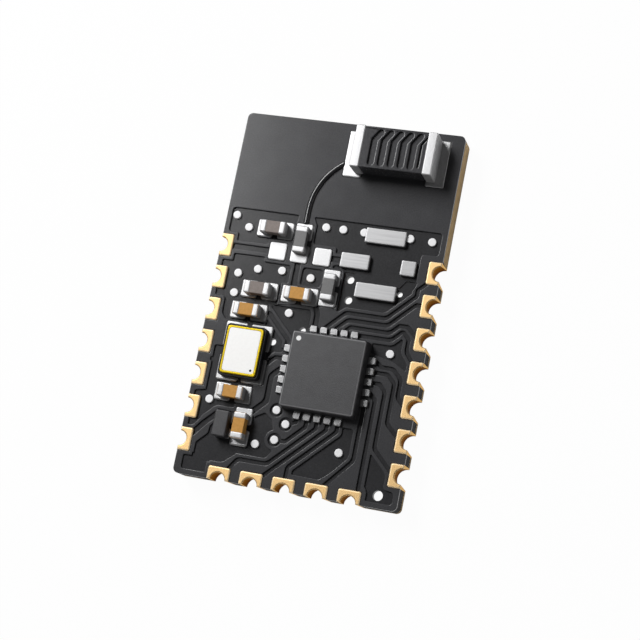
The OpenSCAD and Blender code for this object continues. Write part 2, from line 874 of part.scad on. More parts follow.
// Round line from the first resistor's land, straight and then in an arc to the antenna's left land
feed_x = res_spots[0].x;
feed_start_y = first_land_y + first_land_l / 2;
// The line meets the land a little below the antenna's middle. Its straight part takes a fixed share of
// the room along the board, and its bend follows the rest.
feed_drop = 0.42;
feed_share = 0.215;
feed_end_x = antenna_x + antenna_land_shift.x - antenna_land_x - antenna_land.x / 2;
feed_way = feed_end_x + feed_r - feed_x;
feed_room = antenna_y - feed_drop - feed_start_y;
function bend_for(room) =
    let (rise = (1 - feed_share) * room)
    (feed_way * feed_way + rise * rise) / (2 * feed_way);
bend_r = feed_bend_r * bend_for(feed_room + end_shift) / bend_for(feed_room);
feed_arc_y = feed_start_y + feed_share * (feed_room + end_shift);
module half_round() {
    intersection() {
        circle(feed_r);
        translate([-feed_r, 0]) square([2 * feed_r, feed_r]);
    }
}
module feed_line() {
    centre_x = feed_x + bend_r;
    sweep = 180 - acos((feed_way - bend_r) / bend_r);
    color([0.2, 0.2, 0.21])
        difference() {
            union() {
                translate([feed_x, feed_start_y, top_z])
                    rotate([-90, 0, 0])
                        rotate(180)
                            linear_extrude(feed_arc_y - feed_start_y)
                                half_round();
                translate([centre_x, feed_arc_y, top_z])
                    mirror([1, 0, 0])
                        rotate_extrude(angle = sweep)
                            translate([bend_r, 0])
                                half_round();
            }
            translate([feed_end_x, antenna_at.y - antenna_w, 0])
                cube([antenna_land.x, 2 * antenna_w, 2 * top_z]);
        }
}

function numbered(name, n) = [for (i = [1 : n]) str(name, i)];

laminate();
copper_foil();
top_mask();
bottom_mask();
solder_lands();
bare_pads();
via_plugs();
for (i = [0 : side_pins - 1]) {
    at_left(i) gold_pin();
    at_right(i) gold_pin();
}
for (i = [0 : end_pins - 1])
    at_bottom(i) gold_pin();
for (i = [0 : len(bars) - 1])
    tin_bar(i);
ic_leads();
ic_ground_pad();
ic_body();
ic_index_dot();
crystal_base();
crystal_seal_ring();
crystal_lid();
antenna_body();
antenna_terminal(-1);  // antenna_terminal_left
antenna_terminal(1);  // antenna_terminal_right
feed_line();
for (i = [0 : len(cap_spots) - 1]) {
    cap_body(i);
    cap_terminals(i);
}
for (i = [0 : len(res_spots) - 1]) {
    res_body(i);
    res_terminals(i);
}
moulded_chip();
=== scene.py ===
import math

import bmesh
import bpy
from mathutils import Matrix, Vector


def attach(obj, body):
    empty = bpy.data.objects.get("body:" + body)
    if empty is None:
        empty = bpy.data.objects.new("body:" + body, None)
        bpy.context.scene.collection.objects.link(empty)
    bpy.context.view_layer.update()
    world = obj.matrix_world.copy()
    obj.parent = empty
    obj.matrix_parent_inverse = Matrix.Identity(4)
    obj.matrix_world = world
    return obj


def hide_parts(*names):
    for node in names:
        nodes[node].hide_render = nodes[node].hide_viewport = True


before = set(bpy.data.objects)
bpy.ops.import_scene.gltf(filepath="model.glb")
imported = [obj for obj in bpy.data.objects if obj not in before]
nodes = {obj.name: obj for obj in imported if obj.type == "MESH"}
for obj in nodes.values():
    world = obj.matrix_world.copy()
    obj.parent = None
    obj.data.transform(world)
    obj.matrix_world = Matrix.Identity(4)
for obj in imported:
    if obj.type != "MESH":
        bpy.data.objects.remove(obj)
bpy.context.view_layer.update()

# Camera: a long lens above the lower right corner of the board, turned so that the antenna end
# points up. Its place and turn were solved from the board's outline and pin rows.
bpy.ops.object.camera_add()
camera = bpy.context.object
camera.data.sensor_width = 36.0
camera.data.lens = 90.0926
camera.data.clip_start = 0.001
camera_place = Vector((0.0167778, -0.0110959, 0.0576686))
right = Vector((0.9504630, 0.1937719, -0.2430486))
down = Vector((0.1405234, -0.9653096, -0.2200692))
ahead = Vector((-0.2772604, 0.1750136, -0.9447205))
turn = Matrix((right, -down, -ahead)).transposed().to_4x4()
camera.matrix_world = Matrix.Translation(camera_place) @ turn
bpy.context.scene.camera = camera
bpy.context.scene.view_settings.view_transform = "Standard"


# Board core: epoxy and glass-fibre laminate about 0.85 mm thick, routed to shape, so that its sides
# show thin pressed layers. The black coat has run down most of the side between the pins, and only
# over the top edge at the antenna end, where the cut side is bare.
def new_group(name, inputs, outputs):
    group = bpy.data.node_groups.new(name, "ShaderNodeTree")
    for label, kind in inputs:
        group.interface.new_socket(name=label, in_out="INPUT", socket_type=kind)
    for label, kind in outputs:
        group.interface.new_socket(name=label, in_out="OUTPUT", socket_type=kind)
    start = group.nodes.new("NodeGroupInput")
    end = group.nodes.new("NodeGroupOutput")
    return group, start, end


def colour_mix(tree, factor, first, second):
    mix = tree.nodes.new("ShaderNodeMix")
    mix.data_type = "RGBA"
    for socket, value in ((mix.inputs[0], factor), (mix.inputs[6], first), (mix.inputs[7], second)):
        if isinstance(value, bpy.types.NodeSocket):
            tree.links.new(value, socket)
        elif isinstance(value, (int, float)):
            socket.default_value = value
        else:
            socket.default_value = (*value, 1.0)
    return mix.outputs[2]


def spread(tree, value, low, high, to_low, to_high):
    node = tree.nodes.new("ShaderNodeMapRange")
    tree.links.new(value, node.inputs[0])
    for k, number in enumerate((low, high, to_low, to_high)):
        node.inputs[k + 1].default_value = number
    return node.outputs[0]


# Speckle is the fine uneven colour and tooth of a printed, moulded or plated surface
speckle, start, end = new_group(
    "speckle",
    [("Scale", "NodeSocketFloat"), ("Dark", "NodeSocketColor"), ("Light", "NodeSocketColor")],
    [("Colour", "NodeSocketColor"), ("Grain", "NodeSocketFloat")])
place = speckle.nodes.new("ShaderNodeTexCoord")
noise = speckle.nodes.new("ShaderNodeTexNoise")
noise.inputs["Detail"].default_value = 3.0
noise.inputs["Roughness"].default_value = 0.6
speckle.links.new(place.outputs["Object"], noise.inputs["Vector"])
speckle.links.new(start.outputs["Scale"], noise.inputs["Scale"])
grain = spread(speckle, noise.outputs[0], 0.32, 0.68, 0.0, 1.0)
speckle.links.new(colour_mix(speckle, grain, start.outputs["Dark"], start.outputs["Light"]),
                  end.inputs["Colour"])
speckle.links.new(grain, end.inputs["Grain"])


def new_finish(name):
    finish = bpy.data.materials.new(name)
    finish.use_nodes = True
    return finish, finish.node_tree, finish.node_tree.nodes["Principled BSDF"]


def add_speckle(tree, scale, dark, light):
    node = tree.nodes.new("ShaderNodeGroup")
    node.node_tree = speckle
    node.inputs["Scale"].default_value = scale
    node.inputs["Dark"].default_value = (*dark, 1.0)
    node.inputs["Light"].default_value = (*light, 1.0)
    return node


def add_bump(tree, shader, height, strength, depth):
    bump = tree.nodes.new("ShaderNodeBump")
    bump.inputs["Strength"].default_value = strength
    bump.inputs["Distance"].default_value = depth
    tree.links.new(height, bump.inputs["Height"])
    tree.links.new(bump.outputs[0], shader.inputs["Normal"])


def paint(node, finish):
    node.data.materials.clear()
    node.data.materials.append(finish)


# Streaks are noise drawn out along the layers of a cloth or the lines of a brush
streaks, start, end = new_group(
    "streaks",
    [("Stretch", "NodeSocketVector"), ("Detail", "NodeSocketFloat")],
    [("Lines", "NodeSocketFloat")])
place = streaks.nodes.new("ShaderNodeTexCoord")
drawn = streaks.nodes.new("ShaderNodeMapping")
lines = streaks.nodes.new("ShaderNodeTexNoise")
lines.inputs["Scale"].default_value = 1.0
streaks.links.new(place.outputs["Object"], drawn.inputs["Vector"])
streaks.links.new(start.outputs["Stretch"], drawn.inputs["Scale"])
streaks.links.new(drawn.outputs[0], lines.inputs["Vector"])
streaks.links.new(start.outputs["Detail"], lines.inputs["Detail"])
streaks.links.new(lines.outputs[0], end.inputs["Lines"])


def add_streaks(tree, stretch, detail):
    node = tree.nodes.new("ShaderNodeGroup")
    node.node_tree = streaks
    node.inputs["Stretch"].default_value = stretch
    node.inputs["Detail"].default_value = detail
    return node.outputs["Lines"]


def position(tree):
    place = tree.nodes.new("ShaderNodeTexCoord")
    parts = tree.nodes.new("ShaderNodeSeparateXYZ")
    tree.links.new(place.outputs["Object"], parts.inputs[0])
    return parts.outputs


laminate_finish, tree, shader = new_finish("glass_laminate")
fibres = add_streaks(tree, (2500, 2500, 26000), 4.0)
cloth = colour_mix(tree, spread(tree, fibres, 0.3, 0.7, 0.0, 1.0), (0.46, 0.31, 0.15), (0.72, 0.52, 0.27))
_, along_board, height = position(tree)
pins_end, antenna_end = 0.0021, 0.0023
sealed_beside_pins, sealed_at_antenna = 0.00022, 0.00084
sealed_from = spread(tree, along_board, pins_end, antenna_end, sealed_beside_pins, sealed_at_antenna)
above = tree.nodes.new("ShaderNodeMath")
above.operation = "SUBTRACT"
tree.links.new(height, above.inputs[0])
tree.links.new(sealed_from, above.inputs[1])
coated = spread(tree, above.outputs[0], 0.0, 0.00003, 0.0, 1.0)
tree.links.new(colour_mix(tree, coated, cloth, (0.022, 0.021, 0.021)), shader.inputs["Base Color"])
tree.links.new(spread(tree, fibres, 0.3, 0.7, 0.5, 0.75), shader.inputs["Roughness"])
shader.inputs["Specular IOR Level"].default_value = 0.04
add_bump(tree, shader, fibres, 0.4, 0.00001)
paint(nodes["laminate"], laminate_finish)


# Foil: etched copper, 0.035 mm thick, bonded to the core and buried under the black coat. What is
# left of it after etching are the conductors, the ground areas and the seats of the lands.
def grained(name, scale, dark, light, rough, metal=0.0, tooth=None):
    finish, tree, shader = new_finish(name)
    grain = add_speckle(tree, scale, dark, light)
    tree.links.new(grain.outputs["Colour"], shader.inputs["Base Color"])
    tree.links.new(spread(tree, grain.outputs["Grain"], 0.0, 1.0, *rough), shader.inputs["Roughness"])
    shader.inputs["Metallic"].default_value = metal
    if tooth:
        add_bump(tree, shader, grain.outputs["Grain"], *tooth)
    return finish, shader


copper_finish, _ = grained("etched_copper", 9000, (0.45, 0.19, 0.10), (0.72, 0.36, 0.22), (0.3, 0.5), 1.0)
paint(nodes["copper_foil"], copper_finish)


# Black coat on the parts side: a screened and cured solder resist with a soft matte skin. It lies
# thin over the foil and thick between the conductors, and its edges have flowed round.
def put_down():
    if bpy.context.mode != "OBJECT":
        bpy.ops.object.mode_set(mode="OBJECT")
    bpy.ops.object.select_all(action="DESELECT")


def take(piece):
    put_down()
    piece.select_set(True)
    bpy.context.view_layer.objects.active = piece


def open_all(piece):
    take(piece)
    bpy.ops.object.mode_set(mode="EDIT")
    bpy.ops.mesh.select_all(action="SELECT")


def settle():
    bpy.ops.object.transform_apply(location=True, rotation=True, scale=True)


# Pieces are shaped at a thousand times their size, in millimetres, where fine bevels keep their form
shaping_scale = 1000
crease = 0.6


def choose(piece, wanted):
    take(piece)
    bpy.ops.object.mode_set(mode="EDIT")
    bpy.ops.mesh.select_mode(type="EDGE")
    bpy.ops.mesh.select_all(action="DESELECT")
    shape = bmesh.from_edit_mesh(piece.data)
    for edge in shape.edges:
        edge.select_set(wanted(edge))
    bmesh.update_edit_mesh(piece.data)


def round_over(piece, size, steps, wanted, clamp=True):
    choose(piece, wanted)
    bpy.ops.mesh.bevel(offset=size, segments=steps, profile=0.5, affect="EDGES", clamp_overlap=clamp,
                       loop_slide=False)
    bpy.ops.object.mode_set(mode="OBJECT")


def sharp(edge):
    return len(edge.link_faces) == 2 and edge.calc_face_angle() > crease


def at_level(z):
    return lambda edge: (sharp(edge) and all(abs(v.co.z - z) < 1e-4 for v in edge.verts)
                         and any(abs(f.normal.z) < 0.5 for f in edge.link_faces))


# A rim is rounded over wider than deep, by its fall, like the edge of a printed or plated layer
def soften(piece, size, level, fall=0.25, clamp=True):
    piece.scale = (1, 1, 1 / fall)
    take(piece)
    settle()
    round_over(piece, size, 6, at_level(level / fall), clamp)
    piece.scale = (1, 1, fall)
    settle()


def upright(edge):
    a, b = (v.co for v in edge.verts)
    return sharp(edge) and abs(a.z - b.z) > 0.9 * (a - b).length


# A patch is a second finish on the faces that its list marks, and level keeps flats and walls flat
def seat(piece, finish, slot, *replaced, patches=(), level=False):
    open_all(piece)
    bpy.ops.mesh.normals_make_consistent(inside=False)
    bpy.ops.object.mode_set(mode="OBJECT")
    bpy.ops.object.shade_smooth_by_angle(angle=crease)
    if level:
        for face in piece.data.polygons:
            face.use_smooth = 0.001 < abs(face.normal.z) < 0.999
    else:
        even = piece.modifiers.new("even", "WEIGHTED_NORMAL")
        even.keep_sharp = True
        bpy.ops.object.modifier_apply(modifier="even")
    piece.scale = [1 / shaping_scale] * 3
    settle()
    paint(piece, finish)
    for k, (patch_finish, where) in enumerate(patches):
        piece.data.materials.append(patch_finish)
        for face in piece.data.polygons:
            if where[face.index]:
                face.material_index = k + 1
    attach(piece, "root")
    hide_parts(*replaced)


def multiply(tree, first, second):
    mix = tree.nodes.new("ShaderNodeMix")
    mix.data_type = "RGBA"
    mix.blend_type = "MULTIPLY"
    mix.inputs[0].default_value = 1.0
    tree.links.new(first, mix.inputs[6])
    tree.links.new(second, mix.inputs[7])
    return mix.outputs[2]


coat_finish, tree, shader = new_finish("black_coat")
_, _, height = position(tree)
thick = spread(tree, height, 0.00094, 0.00096, 0.0, 1.0)
clouds = add_speckle(tree, 900, (0.85, 0.85, 0.85), (1.0, 1.0, 1.0))
tooth = add_speckle(tree, 22000, (0.75, 0.75, 0.75), (1.0, 1.0, 1.0))
mottle = multiply(tree, clouds.outputs["Colour"], tooth.outputs["Colour"])
resist = colour_mix(tree, thick, (0.039, 0.039, 0.0415), (0.065, 0.065, 0.069))
tree.links.new(multiply(tree, mottle, resist), shader.inputs["Base Color"])
tree.links.new(spread(tree, tooth.outputs["Grain"], 0.0, 1.0, 0.22, 0.27), shader.inputs["Roughness"])
shader.inputs["Specular IOR Level"].default_value = 0.18
add_bump(tree, shader, tooth.outputs["Grain"], 0.15, 0.000003)

board_top, pocket_floor = 1.0, 0.935
coat = bpy.data.objects.new("coat_parts_side", nodes["top_mask"].data.copy())
bpy.context.scene.collection.objects.link(coat)
take(coat)
coat.scale = [shaping_scale] * 3
settle()
open_all(coat)
bpy.ops.mesh.remove_doubles(threshold=0.004)
bpy.ops.mesh.dissolve_limited(angle_limit=0.01)
put_down()


# A ridge corner has room for its rounding where every rim that meets it is longer than the reach
def ridge_corner(reach):
    def wanted(edge):
        low, high = sorted(v.co.z for v in edge.verts)
        if not upright(edge) or abs(low - pocket_floor) > 1e-3 or abs(high - board_top) > 1e-3:
            return False
        rims = [e for v in edge.verts for e in v.link_edges if e is not edge and sharp(e)]
        return all(e.calc_length() > reach for e in rims)
    return wanted


def into_triangles(piece):
    open_all(piece)
    bpy.ops.mesh.quads_convert_to_tris(quad_method="BEAUTY", ngon_method="BEAUTY")
    put_down()


# A corner that is rounded can fold the flat beside it, so the flats of a level are filled anew
def fill_flats(piece, level):
    take(piece)
    bpy.ops.object.mode_set(mode="EDIT")
    bpy.ops.mesh.select_mode(type="FACE")
    bpy.ops.mesh.select_all(action="DESELECT")
    shape = bmesh.from_edit_mesh(piece.data)
    for face in shape.faces:
        face.select_set(all(abs(v.co.z - level) < 1e-4 for v in face.verts))
    bmesh.update_edit_mesh(piece.data)
    bpy.ops.mesh.delete(type="FACE")
    choose(piece, lambda edge: edge.is_boundary)
    bpy.ops.mesh.fill(use_beauty=True)
    bpy.ops.mesh.select_all(action="SELECT")
    bpy.ops.mesh.normals_make_consistent(inside=False)
    put_down()


round_over(coat, 0.12, 6, ridge_corner(0.4), clamp=False)
round_over(coat, 0.055, 4, ridge_corner(0.12), clamp=False)
fill_flats(coat, board_top)
fill_flats(coat, pocket_floor)
into_triangles(coat)
soften(coat, 0.035, board_top, clamp=False)
seat(coat, coat_finish, "solder_mask", "top_mask", level=True)

# Black coat on the soldered side: the same resist, screened in one even layer. It stays clear of the
# pins, the vias and the open holes.
paint(nodes["bottom_mask"], coat_finish)


# Lands: tinned copper under the chip parts, the crystal and the antenna. Each stands a little
# proud of the coat, with round corners and a bright rim where the tin drew back from its edge.
def block(name, low, high):
    put_down()
    middle = [(a + b) / 2 for a, b in zip(low, high)]
    size = [b - a for a, b in zip(low, high)]
    bpy.ops.mesh.primitive_cube_add(size=1, location=middle, scale=size)
    settle()
    bpy.context.object.name = name
    return bpy.context.object


def plate(name, x, y, wide, long, low, high, corner, rim, fall=0.25):
    piece = block(name, (x - wide / 2, y - long / 2, low), (x + wide / 2, y + long / 2, high))
    round_over(piece, corner, 5, upright)
    soften(piece, rim, high, fall)
    return piece


def weld(name, pieces):
    put_down()
    for piece in pieces:
        piece.select_set(True)
    bpy.context.view_layer.objects.active = pieces[0]
    bpy.ops.object.join()
    pieces[0].name = name
    return pieces[0]


foil_level, land_top = 0.88, 1.05
capacitor_spots = [(-2.28, 2.62, 0), (-2.42, 0.2, 0), (-0.82, 0.21, 0), (-2.67, -0.67, 0),
                   (-2.62, -3.84, 0), (-2.03, -5.05, 90)]
resistor_spots = [(-1.15, 2.31, 90), (0.28, 0.64, 90)]
moulding_spot = (-2.73, -5.08, 90)
crystal_x, crystal_y = -2.5, -2.27
antenna_x, antenna_y = 1.94, 6.02
antenna_land_wide, antenna_land_step, antenna_land_shift = 0.72, 1.625, -0.075
pair_long, pair_wide, pair_gap = 1.46, 0.68, 0.2


def land(x, y, wide, long, corner=0.08):
    return plate("land", x, y, wide, long, foil_level, land_top, corner, 0.06, 0.6)


def land_pair(spot, over, wide, gap):
    x, y, turned = spot
    half = (over - gap) / 2
    step = (over + gap) / 4
    if turned:
        return [land(x, y + s * step, wide, half) for s in (-1, 1)]
    return [land(x + s * step, y, half, wide) for s in (-1, 1)]


tin_finish, _ = grained("tinned_copper", 14000, (0.40, 0.40, 0.404), (0.45, 0.45, 0.454), (0.43, 0.50),
                        0.95, (0.15, 0.000004))
lands = []
for spot in capacitor_spots + resistor_spots[1:]:
    lands += land_pair(spot, pair_long, pair_wide, pair_gap)
x, y, turned = moulding_spot
lands += land_pair((x + 0.02, y, turned), 0.98, 0.61, pair_gap)
x, y, turned = resistor_spots[0]
lands.append(land(x, y + 0.36, pair_wide, 0.66))
for s in (-1, 1):
    x = antenna_x + antenna_land_shift + s * antenna_land_step
    lands.append(land(x, antenna_y - 0.065, antenna_land_wide, 1.84, 0.06))
for sx in (-1, 1):
    for sy in (-1, 1):
        lands.append(land(crystal_x + sx * 0.5025, crystal_y + sy * 0.645, 0.875, 0.99))
seat(weld("solder_land_set", lands), tin_finish, "tin", "solder_lands")

# Bare pads: three square tinned pads in a row, for tuning parts that this board leaves off. They are
# flat copper like the lands, with a thinner rim of tin.
pad_y, pad_side = 1.79, 0.69
pads = [plate("pad", x, pad_y, pad_side, pad_side, foil_level, land_top, 0.08, 0.06)
        for x in (-2.02, -1.15, -0.24)]
seat(weld("bare_pad_set", pads), tin_finish, "tin", "bare_pads")


# Vias: drilled, plated and filled with solder, so that each shows as a small bright disc with a
# faintly dished top.
def drum(name, x, y, low, high, radius, top_radius=None, sides=48):
    put_down()
    bpy.ops.mesh.primitive_cone_add(vertices=sides, radius1=radius, radius2=top_radius or radius,
                                    depth=high - low, location=(x, y, (low + high) / 2))
    settle()
    bpy.context.object.name = name
    return bpy.context.object


def press_top(piece, step, fall):
    take(piece)
    bpy.ops.object.mode_set(mode="EDIT")
    bpy.ops.mesh.select_mode(type="FACE")
    bpy.ops.mesh.select_all(action="DESELECT")
    shape = bmesh.from_edit_mesh(piece.data)
    max(shape.faces, key=lambda f: f.calc_center_median().z + 0.01 * f.calc_area()).select_set(True)
    bmesh.update_edit_mesh(piece.data)
    bpy.ops.mesh.inset(thickness=step, depth=-fall)
    bpy.ops.object.mode_set(mode="OBJECT")


via_spots = [(-3.94, 3.01), (-3.37, 2.59), (-0.33, 2.97), (0.35, 2.97), (1.18, 2.96), (2.97, 2.95),
             (3.82, 2.93), (-2.67, 1.01), (-1.71, 1.07), (-0.54, 0.94), (-3.42, 0.76), (-3.42, -0.02),
             (-1.11, -0.51), (3.04, -1.48), (-3.51, -4.2), (-1.38, -5.59), (1.84, -5.4),
             (-0.82, -4.21), (-0.37, -4.68), (-0.68, -5.32)]
via_top, via_radius = 1.025, 0.155
plug_finish, _ = grained("solder_plug", 14000, (0.82, 0.82, 0.83), (0.88, 0.88, 0.89), (0.45, 0.6), 0.1)
vias = []
for x, y in via_spots:
    via = drum("via", x, y, 0.0, via_top, via_radius, sides=32)
    round_over(via, 0.018, 2, at_level(via_top))
    press_top(via, 0.05, 0.002)
    vias.append(via)
seat(weld("via_disc_set", vias), plug_finish, "tin", "via_plugs")


# Edge pins: gold-plated half holes. Each pin is one skin of metal that covers a land on both faces,
# the board's side and the wall of the half-round notch, which widens towards the soldered side.
def carve(piece, tool):
    take(piece)
    cut = piece.modifiers.new("cut", "BOOLEAN")
    cut.operation = "DIFFERENCE"
    cut.solver = "EXACT"
    cut.use_self = True
    cut.object = tool
    bpy.ops.object.modifier_apply(modifier="cut")
    bpy.data.objects.remove(tool)


def copy_to(piece, name, x, y, turned):
    take(piece)
    bpy.ops.object.duplicate()
    twin = bpy.context.object
    twin.name = name
    twin.location = (x, y, 0)
    twin.rotation_euler = (0, 0, math.radians(turned))
    settle()
    return twin


board_wide, board_long = 8.7, 14.3
pin_depth, pin_long, pin_top = 0.49, 0.88, 1.05
pin_pitch, left_row, right_row = 1.27, 1.78, 1.75
notch_top, notch_flare, plating = 0.28, 0.11, 0.035
cut_past = 0.2


def notch(wall):
    slope = notch_flare / pin_top
    return drum("notch", 0, 0, -cut_past, pin_top + cut_past,
                notch_top + notch_flare + cut_past * slope + wall, notch_top - cut_past * slope + wall, 64)


gold_finish, shader = grained("plated_gold", 11000, (0.70, 0.485, 0.232), (0.76, 0.53, 0.257), (0.51, 0.58),
                              1.0, (0.12, 0.000004))
shader.inputs["Specular Tint"].default_value = (0.9, 0.66, 0.33, 1)
# Pin rims: a paler, less metallic gold on the rounded outer rims of the top face, a painted highlight so that
# the rims read bright.
rim_highlight_finish, shader = grained("gold_rim_painted_highlight", 11000, (0.92, 0.70, 0.42), (0.98, 0.77, 0.48), (0.4, 0.5), 0.35)
shader.inputs["Specular Tint"].default_value = (0.9, 0.66, 0.33, 1)

# Notch wall: the gold is painted dull dark brown and fades to near black towards the soldered side, painted
# shade for the dark the wall reflects and the shade deep in the notch.
wall_finish, tree, shader = new_finish("notch_gold_painted_shade")
notch_shade_tone = add_speckle(tree, 9000, (0.24, 0.130, 0.042), (0.34, 0.190, 0.066))
_, _, height = position(tree)
depth = spread(tree, height, 0.0001, 0.001, 0.25, 1.0)
shaded = colour_mix(tree, depth, (0.02, 0.010, 0.003), notch_shade_tone.outputs["Colour"])
tree.links.new(shaded, shader.inputs["Base Color"])
tree.links.new(spread(tree, notch_shade_tone.outputs["Grain"], 0.0, 1.0, 0.45, 0.6), shader.inputs["Roughness"])
shader.inputs["Metallic"].default_value = 1.0
shader.inputs["Specular Tint"].default_value = (0.5, 0.3, 0.12, 1)

pin = block("edge_pin", (-pin_depth, -pin_long / 2, 0), (0, pin_long / 2, pin_top))
core = block("pin_core", (-pin_depth - cut_past, -pin_long, 0.03), (-plating, pin_long, foil_level))
carve(core, notch(plating))
carve(pin, core)
carve(pin, notch(0))
round_over(pin, 0.08, 5, lambda e: upright(e) and all(v.co.x < 0.001 - pin_depth for v in e.verts))
soften(pin, 0.06, pin_top, 0.6, clamp=False)
round_over(pin, 0.012, 2, lambda e: upright(e) and all(v.co.x > -0.001 for v in e.verts))
# The faces of the notch wall take the painted shade finish.
in_notch = [math.hypot(f.center.x, f.center.y) < notch_top + notch_flare + 0.01 and abs(f.normal.z) < 0.2
            and f.normal.dot(Vector((f.center.x, f.center.y, 0))) < 0 for f in pin.data.polygons]
# The rounded outer rim faces of the top take the painted highlight finish.
on_rim = [f.center.z > pin_top - 0.05 and 0.05 < f.normal.z < 0.995
          and math.hypot(f.center.x, f.center.y) > notch_top + 0.08 for f in pin.data.polygons]
pin_patches = [(wall_finish, in_notch), (rim_highlight_finish, on_rim)]
side_rows = (("left", -board_wide / 2, left_row, 180), ("right", board_wide / 2, right_row, 0))
for k in range(7):
    for side, x, first, turned in side_rows:
        placed = copy_to(pin, f"pin_{side}_{k + 1}", x, first - pin_pitch * k, turned)
        seat(placed, gold_finish, "gold", f"{side}_pin_{k + 1}", patches=pin_patches)
for k in range(5):
    placed = copy_to(pin, f"pin_bottom_{k + 1}", pin_pitch * (k - 2), -board_long / 2, -90)
    seat(placed, gold_finish, "gold", f"bottom_pin_{k + 1}", patches=pin_patches)
bpy.data.objects.remove(pin)

# Tinned bars: raised strips of solder on the test strips above the chip, drawn out smooth, with a
# brushed look along their length and a thin bright rim.
bar_finish, tree, shader = new_finish("drawn_solder")
brushed = add_streaks(tree, (700, 16000, 900), 5.0)
tree.links.new(colour_mix(tree, spread(tree, brushed, 0.3, 0.7, 0.0, 1.0), (0.28, 0.28, 0.283),
                          (0.36, 0.36, 0.364)), shader.inputs["Base Color"])
tree.links.new(spread(tree, brushed, 0.3, 0.7, 0.44, 0.52), shader.inputs["Roughness"])
shader.inputs["Metallic"].default_value = 1.0
add_bump(tree, shader, brushed, 0.15, 0.000003)
bar_wide, bar_top = 0.58, 1.11
bar_spots = ((2.06, 2.87, 1.58), (1.06, 1.8, 1.13), (3.13, 1.79, 0.58), (2.06, 0.74, 1.58))
for k, (x, y, long) in enumerate(bar_spots):
    bar = plate(f"solder_bar_{k + 1}", x, y, long, bar_wide, foil_level, bar_top, 0.06, 0.07)
    seat(bar, bar_finish, "solder", f"tin_bar_{k + 1}")

# Radio chip: a flat moulded package with five plated leads on each side and a bare pad under it.
# The body is black epoxy with a fine spark-eroded skin, a draft on its sides and a blunt top edge.
chip_x, chip_y, chip_side, chip_low, chip_high = 0.8, -2.65, 2.96, 1.025, 1.555
lead_finish, _ = grained("plated_lead", 15000, (0.30, 0.30, 0.303), (0.37, 0.37, 0.374), (0.28, 0.4),
                         0.9, (0.15, 0.000004))
paint(nodes["ic_ground_pad"], lead_finish)

lead_end, lead_half, lead_top, lead_in = 0.23, 0.13, 1.12, 0.53
on_top = at_level(lead_top)
lead = block("lead", (-lead_end, -lead_half, foil_level), (0, lead_half, lead_top))
round_over(lead, 0.03, 4, lambda e: upright(e) and all(v.co.x > -0.01 for v in e.verts))
round_over(lead, 0.09, 6, lambda e: on_top(e) and all(v.co.x > -0.04 for v in e.verts))
round_over(lead, 0.025, 3, lambda e: on_top(e) and e.verts[0].co.y * e.verts[1].co.y > 0)
foot = block("lead_foot", (-lead_in, -lead_half, foil_level), (-lead_end, lead_half, chip_low))
lead = weld("lead", [lead, foot])
lead_pitch, lead_reach = 0.4, 1.79
leads = []
for k in range(5):
    step = (k - 2) * lead_pitch
    leads.append(copy_to(lead, "lead_up", chip_x + step, chip_y + lead_reach, 90))
    leads.append(copy_to(lead, "lead_down", chip_x + step, chip_y - lead_reach, -90))
    leads.append(copy_to(lead, "lead_left", chip_x - lead_reach, chip_y - step, 180))
    leads.append(copy_to(lead, "lead_right", chip_x + lead_reach, chip_y - step, 0))
bpy.data.objects.remove(lead)
seat(weld("chip_lead_set", leads), lead_finish, "lead_metal", "ic_leads")

mould_finish, tree, shader = new_finish("moulded_epoxy")
clouds = add_speckle(tree, 2500, (0.034, 0.034, 0.037), (0.042, 0.042, 0.046))
tooth = add_speckle(tree, 26000, (0.7, 0.7, 0.7), (1.0, 1.0, 1.0))
mottle = multiply(tree, clouds.outputs["Colour"], tooth.outputs["Colour"])
tree.links.new(mottle, shader.inputs["Base Color"])
tree.links.new(spread(tree, tooth.outputs["Grain"], 0.0, 1.0, 0.36, 0.46), shader.inputs["Roughness"])
add_bump(tree, shader, tooth.outputs["Grain"], 0.4, 0.000006)

# The blunt top edge of the moulding is painted a lighter grey epoxy, a painted highlight along its rim.
rim_highlight_epoxy_finish, _ = grained("epoxy_rim_painted_highlight", 9000, (0.15, 0.15, 0.155), (0.18, 0.18, 0.186), (0.3, 0.38))

chip = block("chip_moulding", (chip_x - chip_side / 2, chip_y - chip_side / 2, chip_low),
             (chip_x + chip_side / 2, chip_y + chip_side / 2, chip_high))
chip_draft = 0.04
draft = 1 - 2 * chip_draft / chip_side
take(chip)
bpy.ops.object.mode_set(mode="EDIT")
bpy.ops.mesh.select_all(action="DESELECT")
shape = bmesh.from_edit_mesh(chip.data)
for corner in shape.verts:
    corner.select_set(corner.co.z > chip_high - 0.01)
shape.select_flush_mode()
bmesh.update_edit_mesh(chip.data)
bpy.ops.transform.resize(value=(draft, draft, 1), center_override=(chip_x, chip_y, chip_high))
bpy.ops.object.mode_set(mode="OBJECT")
round_over(chip, 0.10, 6, lambda e: sharp(e) and abs(e.verts[0].co.z - e.verts[1].co.z) > 0.3)
round_over(chip, 0.07, 5, at_level(chip_high))
dot_x, dot_y = chip_x - chip_side / 2 + 0.32, chip_y + chip_side / 2 - 0.32
dot_radius, dot_floor = 0.095, chip_high - 0.012
carve(chip, drum("dot_seat", dot_x, dot_y, dot_floor, chip_high + cut_past, dot_radius))
# The rounded faces of the top edge take the painted highlight finish.
on_edge = [f.center.z > chip_high - 0.05 and 0.75 < f.normal.z < 0.995 for f in chip.data.polygons]
seat(chip, mould_finish, "mould", "ic_body", patches=[(rim_highlight_epoxy_finish, on_edge)])

